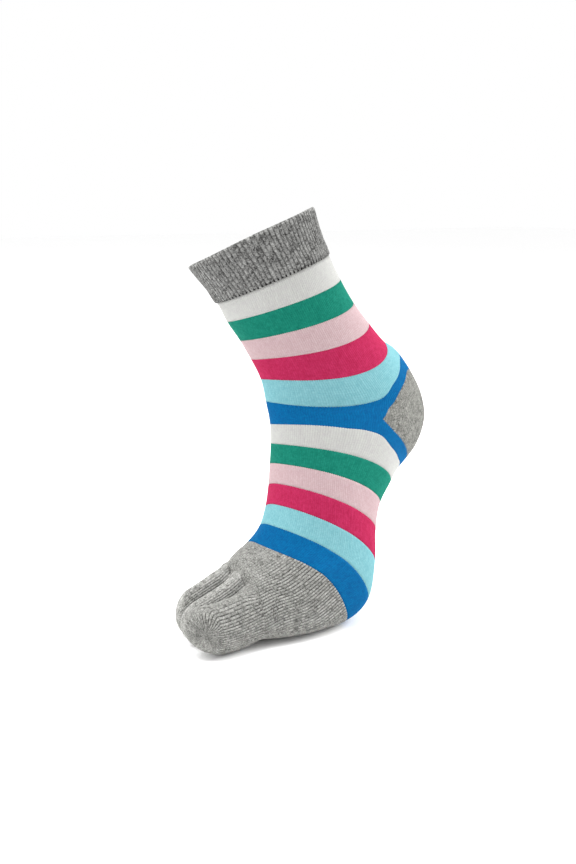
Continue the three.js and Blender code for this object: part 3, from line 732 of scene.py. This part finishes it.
def cuff_piece():
    """Double rib: a rolled rim, a waist, and a welt that rounds in over the leg."""
    last_row = len(CUFF_PROFILE) - 1
    step = np.linspace(0, last_row, last_row * CUFF_STEPS + 1)
    shares, proud, ribbed = (
        np.interp(step, np.arange(last_row + 1), column)[:, None] for column in zip(*CUFF_PROFILE)
    )
    columns = np.arange(COLUMNS)
    front = np.cos(columns / COLUMNS * 2 * np.pi)
    place = shares * np.ones(COLUMNS)
    points, outward = tube(np.maximum(place, 0), np.broadcast_to(columns, place.shape))
    low = spline_points(np.full(COLUMNS, CUFF_ALONG), columns)
    along = unit(low - spline_points(np.zeros(COLUMNS), columns))
    near_rim = smooth_step(1 - place / CUFF_RIM_SHARE)
    tuck = CUFF_TUCK * np.maximum(front, 0) ** 2 * near_rim
    shift = CUFF_RIM_DROP - CUFF_RIM_TILT * front + CUFF_WAVE * knit_noise(points, *CUFF_WAVE_NOISE)
    below = np.minimum(place, 0) * CUFF_HEIGHT + shift * near_rim
    points = points + along[None] * below[..., None]
    wale = columns * RIBS / COLUMNS + RIB_WANDER * knit_noise(points, *RIB_NOISE)
    relief = (
        CUFF_PROUD * proud + RIB_DEPTH * ribbed * (ridge_height(wale) - RIB_LEVEL)
        - tuck + CUFF_UNEVEN * knit_noise(points, *CUFF_NOISE)
    )
    outer = points + outward * relief[..., None]
    coords = np.stack([wale, place * CUFF_COURSES], axis=-1)
    inner_place = np.linspace(0, 1, INNER_ROWS)[:, None] * np.ones(COLUMNS)
    inner_points, inner_outward = tube(inner_place, np.broadcast_to(columns, inner_place.shape))
    inner_points = inner_points + along[None] * (below[:1] * (1 - inner_place))[..., None]
    plain_wale = columns * RIBS / COLUMNS
    inner_depth = KNIT_WALL + RIB_INNER_DEPTH * ridge_height(plain_wale) + tuck[:1] * (1 - inner_place)
    inner = inner_points - inner_outward * inner_depth[..., None]
    inner_coords = knit_coords(plain_wale, inner_place * CUFF_COURSES, inner_place.shape)
    mesh_parts = shell(outer, coords, inner, inner_coords)
    return make_piece("cuff_rib", *mesh_parts, RIBS, "cuff", grey_rib, "grey_rib")


cuff_piece()

# Stripes
STRIPES = (
    ("leg_white", "cuff_end", "leg_green", "white"),
    ("leg_green", "leg_green", "leg_pink", "green"),
    ("leg_pink", "leg_pink", "leg_magenta", "pink"),
    ("leg_magenta", "leg_magenta", "leg_aqua", "magenta"),
    ("leg_aqua", "leg_aqua", "ankle_top", "aqua"),
    ("foot_white", "ankle_end", "foot_green", "white"),
    ("foot_green", "foot_green", "foot_pink", "green"),
    ("foot_pink", "foot_pink", "foot_magenta", "pink"),
    ("foot_magenta", "foot_magenta", "foot_aqua", "magenta"),
    ("foot_aqua", "foot_aqua", "foot_blue", "aqua"),
    ("foot_blue", "foot_blue", "forefoot", "blue"),
)
STRIPE_ROWS = 10
STRIPE_COURSES = 13
for name, start, end, colour in STRIPES:
    tube_piece(
        name + "_knit", edge_place(start), edge_place(end), STRIPE_ROWS, BAND_WALES, BAND_WALE_DEPTH,
        STRIPE_COURSES, name, yarn[colour], colour + "_knit",
    )

# Heel pocket and the ankle band that forks round it
ANKLE_ROWS = 9  # in each branch
ANKLE_COURSES = 8
HEEL_ROWS = 48
HEEL_COURSES = 46


def heel_edges():
    """The pocket's two edges as ring places, per column."""
    turn = np.arange(COLUMNS) / COLUMNS
    from_front = np.minimum(turn, 1 - turn)
    share = np.clip((from_front - HEEL_APEX_SHARE) / (0.5 - HEEL_APEX_SHARE), 0, 1)
    top_opening = 1 - np.exp(-(share / HEEL_TOP_REACH) ** HEEL_TOP_POWER)
    end_opening = 1 - (1 - share) ** HEEL_END_POWER
    teeth = HEEL_TEETH * stitch_wave() * smooth_step(end_opening / HEEL_TEETH_FROM)
    dip = HEEL_TOP_DIP * smooth_step((share - HEEL_DIP_FROM) / HEEL_DIP_OVER)
    top = HEEL_APEX_PLACE + (HEEL_TOP_PLACE - HEEL_APEX_PLACE) * top_opening + dip + teeth
    end = HEEL_APEX_PLACE + (HEEL_END_PLACE - HEEL_APEX_PLACE) * end_opening + teeth
    return top, end, share > 0


def plain_grid(start, end, rows, columns, wales, courses, depth):
    """Outer grid, inner grid and knit coordinates between two edges for chosen columns."""
    share = np.linspace(0, 1, rows + 1)[:, None]
    place = start[columns] + (end[columns] - start[columns]) * share
    points, outward = tube(place, np.broadcast_to(columns, place.shape))
    wale = columns * wales / COLUMNS
    relief = depth * ridge_height(wale) + UNEVEN * knit_noise(points, *UNEVEN_NOISE)
    outer = points + outward * relief[..., None]
    inner = points - outward * KNIT_WALL
    return outer, inner, knit_coords(wale, share * courses, place.shape)


def ankle_piece():
    """Two branches, above and below the heel, that share their middle line in front."""
    top, end, open_columns = heel_edges()
    columns = np.arange(COLUMNS)
    rows = ANKLE_ROWS
    knit = (rows, columns, BAND_WALES, ANKLE_COURSES, BAND_WALE_DEPTH)
    upper_outer, upper_inner, upper_coords = plain_grid(edge_place("ankle_top"), top, *knit)
    lower_outer, lower_inner, lower_coords = plain_grid(end, edge_place("ankle_end"), *knit)
    lower_coords = lower_coords + [0, ANKLE_COURSES]
    size = (rows + 1) * COLUMNS
    walls = (upper_outer, upper_inner, lower_outer, lower_inner)
    points = np.concatenate([wall.reshape(-1, 3) for wall in walls])
    coords = np.concatenate([upper_coords.reshape(-1, 2)] * 2 + [lower_coords.reshape(-1, 2)] * 2)
    line = np.arange(COLUMNS)
    last = rows * COLUMNS
    closed = [
        grid_quads(rows + 1, COLUMNS, 0, True, False),
        grid_quads(rows + 1, COLUMNS, size, True, True),
        grid_quads(rows + 1, COLUMNS, 2 * size, True, False),
        grid_quads(rows + 1, COLUMNS, 3 * size, True, True),
        rim_quads(size + line, line, True),
        rim_quads(2 * size + last + line, 3 * size + last + line, True),
    ]
    first_open = int(np.argmax(open_columns)) - 1
    fork = np.arange(first_open, COLUMNS - first_open + 1)
    fork_rims = [
        rim_quads(last + fork, size + last + fork, False),
        rim_quads(3 * size + fork, 2 * size + fork, False),
    ]
    quads = np.concatenate(closed + fork_rims)
    # In front the two branches are one: their middle lines share vertices
    shared = np.concatenate([line[: first_open + 1], line[COLUMNS - first_open:]])
    merge = np.arange(len(points))
    merge[2 * size + shared] = last + shared
    merge[3 * size + shared] = size + last + shared
    quads = merge[quads]
    used, quads = np.unique(quads, return_inverse=True)
    return make_piece(
        "ankle_band_knit", points[used], quads.reshape(-1, 4), coords[used], BAND_WALES, "ankle_band",
        yarn["blue"], "blue_knit",
    )


def heel_piece():
    top, end, open_columns = heel_edges()
    columns = np.nonzero(open_columns)[0]
    rows = HEEL_ROWS
    outer, inner, coords = plain_grid(
        top, end, rows, columns, HEEL_WALES, HEEL_COURSES, HEEL_WALE_DEPTH,
    )
    count = len(columns)
    size = (rows + 1) * count
    points = np.concatenate([outer.reshape(-1, 3), inner.reshape(-1, 3)])
    coords = np.concatenate([coords.reshape(-1, 2)] * 2)
    line = np.arange(count)
    side = np.arange(rows + 1) * count
    quads = np.concatenate([
        grid_quads(rows + 1, count, 0, False, False),
        grid_quads(rows + 1, count, size, False, True),
        rim_quads(size + line, line, False),
        rim_quads(rows * count + line, size + rows * count + line, False),
        rim_quads(side, size + side, False),
        rim_quads(size + side + count - 1, side + count - 1, False),
    ])
    return make_piece(
        "heel_pocket_knit", points, quads, coords, HEEL_WALES, "heel", grey_heel, "grey_knit",
    )


ankle_piece()
heel_piece()

# Forefoot
FOREFOOT_ROWS = 64
FOREFOOT_COURSES = 52
tube_piece(
    "forefoot_knit", edge_place("forefoot"), np.full(COLUMNS, float(WEB_PLACE)), FOREFOOT_ROWS,
    FOREFOOT_WALES, FOREFOOT_WALE_DEPTH, FOREFOOT_COURSES, "forefoot", grey_knit, "grey_knit",
)

# Toe pockets
ROOT_ARC_STEPS = 400
FIRST_ROOT_STEPS = 64
STEPS_PER_WALE = 6
TOE_GRID_ROWS = 44
TOE_PLAIN_ROWS = 0.6  # share of the rows that lies before the round end
TOE_INNER_STRIDE = 6  # outer rows for each inner one
TOE_FADE = 0.06  # of the way to the tip, over which the wales run out
TOE_UNEVEN = 0.2
TOE_NOISE = (16.0, 11)


def toe_span(index):
    inner = -WEB_RING["inner"] if index == 0 else WEBS[index - 1]
    outer = WEB_RING["outer"] if index == len(TOES) - 1 else WEBS[index]
    return inner * SOCK_WIDTH, outer * SOCK_WIDTH


def toe_root(index, steps):
    """Even points round a toe's root: arcs of the web ring joined by straight web walls."""
    inner, outer = toe_span(index)
    if index == 0:
        web = web_angle(outer)
        arcs = [np.linspace(math.pi - web, web, ROOT_ARC_STEPS)]
    elif index == len(TOES) - 1:
        web = web_angle(inner)
        arcs = [np.linspace(web, -math.pi - web, ROOT_ARC_STEPS)]
    else:
        over = np.linspace(web_angle(inner), web_angle(outer), ROOT_ARC_STEPS)
        arcs = [over, (math.pi - over)[::-1]]
    outline = np.concatenate([web_ring_points(arc) for arc in arcs])[::-1]
    closed = np.vstack([outline, outline[:1]])
    lengths = np.concatenate([[0], np.cumsum(np.linalg.norm(np.diff(closed, axis=0), axis=1))])
    even = np.arange(steps) / steps * lengths[-1]
    root = np.stack([np.interp(even, lengths, closed[:, axis]) for axis in range(3)], axis=-1)
    return root, lengths[-1]


def through(share, root, middle, pad):
    """A parabola through a toe's root, middle and pad."""
    return (
        root * (share - TOE_MIDDLE) * (share - TOE_PAD) / (TOE_MIDDLE * TOE_PAD)
        + middle * share * (share - TOE_PAD) / (TOE_MIDDLE * (TOE_MIDDLE - TOE_PAD))
        + pad * share * (share - TOE_MIDDLE) / (TOE_PAD * (TOE_PAD - TOE_MIDDLE))
    )


def toe_rows(cap):
    """Shares of the way from root to tip; rows crowd towards the tip so that the round end stays smooth."""
    even = np.linspace(0, 1, TOE_GRID_ROWS + 1)
    into_cap = (even - TOE_PLAIN_ROWS) / (1 - TOE_PLAIN_ROWS)
    round_end = cap + (1 - cap) * np.sin(into_cap * math.pi / 2)
    return np.where(even < TOE_PLAIN_ROWS, even / TOE_PLAIN_ROWS * cap, round_end)[:-1]


def toe_grid(index):
    """Smooth outer grid of a toe pocket, its tip, the x of its root, its rows' shares and its wales."""
    toe = TOES[index]
    _, around = toe_root(index, FIRST_ROOT_STEPS)
    wales = int(round(around / TOE_WALE_PITCH))
    root, _ = toe_root(index, wales * STEPS_PER_WALE)
    low, high = root.min(axis=0), root.max(axis=0)
    half = (high - low) / 2
    centre = (high + low) / 2
    centre[0] = web_x(np.array(centre[1]))
    far = np.array(toe["tip"]) * [SOCK_LENGTH, SOCK_WIDTH, SOCK_HEIGHT]
    cap = toe["cap"]
    offset = root - centre
    angle = np.arctan2(offset[:, 2] / half[2], offset[:, 1] / half[1])

    def section(share):
        """Middle, half width and half height of the toe at an array of shares."""
        top = through(share, high[2], toe["middle"][0] * SOCK_HEIGHT, toe["pad"][0] * SOCK_HEIGHT)
        low_share = np.minimum(share, TOE_PAD)
        bottom = through(low_share, low[2], toe["middle"][1] * SOCK_HEIGHT, toe["pad"][1] * SOCK_HEIGHT)
        inner_side = low[1] - toe["bulge"] * SOCK_WIDTH * smooth_step(share / TOE_PAD)
        into_cap = np.maximum((share - cap) / (1 - cap), 0)
        middle = np.stack([
            centre[0] + (far[0] - centre[0]) * share,
            (inner_side + high[1]) / 2 * (1 - into_cap) + far[1] * into_cap,
            (top + bottom) / 2 * (1 - into_cap) + far[2] * into_cap,
        ], axis=-1)
        return middle, (high[1] - inner_side) / 2, (top - bottom) / 2

    def cap_points(into_cap, around):
        """The rounded end, whose pole is turned to the inner side by the swirl."""
        closing = math.sqrt(max(1 - into_cap ** 2, 0))
        turn = math.radians(toe["swirl"]) * into_cap
        sideways = closing * np.cos(around)
        forward = np.clip(into_cap * math.cos(turn) + sideways * math.sin(turn), 0, 1)
        sideways = sideways * math.cos(turn) - into_cap * math.sin(turn)
        middle, half_width, half_height = section(cap + (1 - cap) * forward)
        upward = closing * np.sin(around)
        return middle + np.stack([0 * around, half_width * sideways, half_height * upward], axis=-1)

    def side_points(share):
        """A row before the rounded end: the root's outline, which turns into an oval."""
        middle, half_width, half_height = section(share)
        oval = np.stack([0 * angle, half_width * np.cos(angle), half_height * np.sin(angle)], axis=-1)
        scaled = offset * [1, half_width / half[1], half_height / half[2]]
        roundness = smooth_step(share / TOE_ROUND_BY)
        return middle + scaled * (1 - roundness) + oval * roundness

    shares = toe_rows(cap)
    grid = np.array([
        cap_points((share - cap) / (1 - cap), angle) if share > cap else side_points(share)
        for share in shares
    ])
    return grid, cap_points(1.0, np.zeros(1))[0], centre[0], shares, wales


def toe_outward(grid, tip):
    """Outward directions of a toe's grid, whose first row runs straight ahead to the toes."""
    tips = np.broadcast_to(tip, grid[:1].shape)
    padded = np.concatenate([2 * grid[:1] - grid[1:2], grid, tips])
    along = padded[2:] - padded[:-2]
    along[0] = [-1, 0, 0]
    around = np.roll(grid, -1, axis=1) - np.roll(grid, 1, axis=1)
    return unit(np.cross(along, around))


def tip_quads(row, pole, flip):
    """Quads from the last row to the pole, two of the row's edges to each."""
    left = np.arange(0, len(row), 2)
    right = (left + 2) % len(row)
    poles = np.full(len(left), pole)
    if flip:
        return np.stack([row[left], row[left + 1], row[right], poles], axis=-1)
    return np.stack([row[left], poles, row[right], row[left + 1]], axis=-1)


def toe_piece(index):
    """A closed wall round a toe, with wales in relief that run to the tip."""
    grid, tip, root_x, shares, wales = toe_grid(index)
    outward = toe_outward(grid, tip)
    steps = grid.shape[1]
    wale = np.arange(steps) * wales / steps
    fade = np.clip((1 - shares) / TOE_FADE, 0, 1)[:, None]
    ridges = FOREFOOT_WALE_DEPTH * side_share(outward) * ridge_height(wale) * fade
    wave_length, seed = TOE_NOISE
    relief = ridges + TOE_UNEVEN * knit_noise(grid, wave_length, seed + index)
    outer = grid + outward * relief[..., None]
    inner = grid[::TOE_INNER_STRIDE] - outward[::TOE_INNER_STRIDE] * KNIT_WALL
    inner_tip = tip + [KNIT_WALL, 0, 0]
    points = np.concatenate([outer.reshape(-1, 3), inner.reshape(-1, 3), [tip], [inner_tip]])
    length = abs(tip[0] - root_x)
    course = (shares * length / COURSE_PITCH)[:, None]
    coords = np.concatenate([
        knit_coords(wale, course, outer.shape[:2]).reshape(-1, 2),
        knit_coords(wale, course[::TOE_INNER_STRIDE], inner.shape[:2]).reshape(-1, 2),
        [[0, length / COURSE_PITCH]] * 2,
    ])
    line = np.arange(steps)
    rows_out, rows_in = len(outer), len(inner)
    base = rows_out * steps
    last_in = base + (rows_in - 1) * steps + line
    quads = np.concatenate([
        grid_quads(rows_out, steps, 0, True, False),
        grid_quads(rows_in, steps, base, True, True),
        rim_quads(base + line, line, True),
        tip_quads(base - steps + line, len(points) - 2, False),
        tip_quads(last_in, len(points) - 1, True),
    ])
    name = "toe_pocket_%d" % (index + 1)
    # All toes but the big toe take the lighter copy, which paints light on them
    material = grey_knit if index == 0 else grey_toe_painted_lighter
    return make_piece(name + "_knit", points, quads, coords, wales, name, material, "grey_knit")


for toe_index in range(len(TOES)):
    toe_piece(toe_index)

# Floor, light and camera
FLOOR_Z = cad_box[0][2]
FLOOR_REACH = 6.0
FLOOR_ROUGHNESS = 0.9
PALE = (0.98, 0.98, 0.98, 1)
WHITE = (1, 1, 1, 1)
WORLD_STRENGTH = 1.0
# Discs of light: place in metres and power in watts
LIGHTS = (
    ("right_window", (1.5, -0.5, 0.9), 40),
    ("left_window", (-1.2, 0.8, 0.9), 14),
    ("overhead", (-0.7, 0.0, 1.6), 27),
)
LIGHT_SIZE = 1.2
LIGHT_TARGET = (0, 0, 0)
CAMERA_AZIMUTH = math.radians(-33)
CAMERA_ELEVATION = math.radians(12)
CAMERA_DISTANCE = 0.7
MM_PER_PIXEL = 0.62
FRAME_HEIGHT = 864
VIEW_HEIGHT = 121.0
SENSOR = 24.0


def make_floor():
    mesh = bpy.data.meshes.new("floor")
    corners = [(-1, -1), (1, -1), (1, 1), (-1, 1)]
    mesh.from_pydata([(x * FLOOR_REACH, y * FLOOR_REACH, FLOOR_Z) for x, y in corners], [], [(0, 1, 2, 3)])
    floor = bpy.data.objects.new("floor", mesh)
    bpy.context.scene.collection.objects.link(floor)
    material = bpy.data.materials.new("floor_paper")
    material.use_nodes = True
    shader = material.node_tree.nodes["Principled BSDF"]
    shader.inputs["Base Color"].default_value = PALE
    shader.inputs["Roughness"].default_value = FLOOR_ROUGHNESS
    mesh.materials.append(material)


def make_light(name, place, power):
    data = bpy.data.lights.new(name, "AREA")
    data.shape = "DISK"
    data.size = LIGHT_SIZE
    data.energy = power
    light = bpy.data.objects.new(name, data)
    light.location = place
    light.rotation_euler = (Vector(LIGHT_TARGET) - Vector(place)).to_track_quat("-Z", "Y").to_euler()
    bpy.context.scene.collection.objects.link(light)


def make_world():
    world = bpy.data.worlds.new("studio")
    world.use_nodes = True
    background = world.node_tree.nodes["Background"]
    background.inputs[0].default_value = WHITE
    background.inputs[1].default_value = WORLD_STRENGTH
    bpy.context.scene.world = world


def make_camera():
    data = bpy.data.cameras.new("camera")
    data.sensor_fit = "VERTICAL"
    data.sensor_height = SENSOR
    data.lens = CAMERA_DISTANCE / (MM_PER_PIXEL * METRE * FRAME_HEIGHT) * SENSOR
    camera = bpy.data.objects.new("camera", data)
    back = Vector((
        math.sin(CAMERA_AZIMUTH) * math.cos(CAMERA_ELEVATION),
        -math.cos(CAMERA_AZIMUTH) * math.cos(CAMERA_ELEVATION),
        math.sin(CAMERA_ELEVATION),
    ))
    view_centre = to_frame(np.array([0.0, 0.0, VIEW_HEIGHT]))
    camera.location = Vector(view_centre) + back * CAMERA_DISTANCE
    camera.rotation_euler = back.to_track_quat("Z", "Y").to_euler()
    bpy.context.scene.collection.objects.link(camera)
    bpy.context.scene.camera = camera


make_floor()
for light_name, light_place, light_power in LIGHTS:
    make_light(light_name, light_place, light_power)
make_world()
make_camera()
bpy.context.scene.view_settings.view_transform = "Standard"
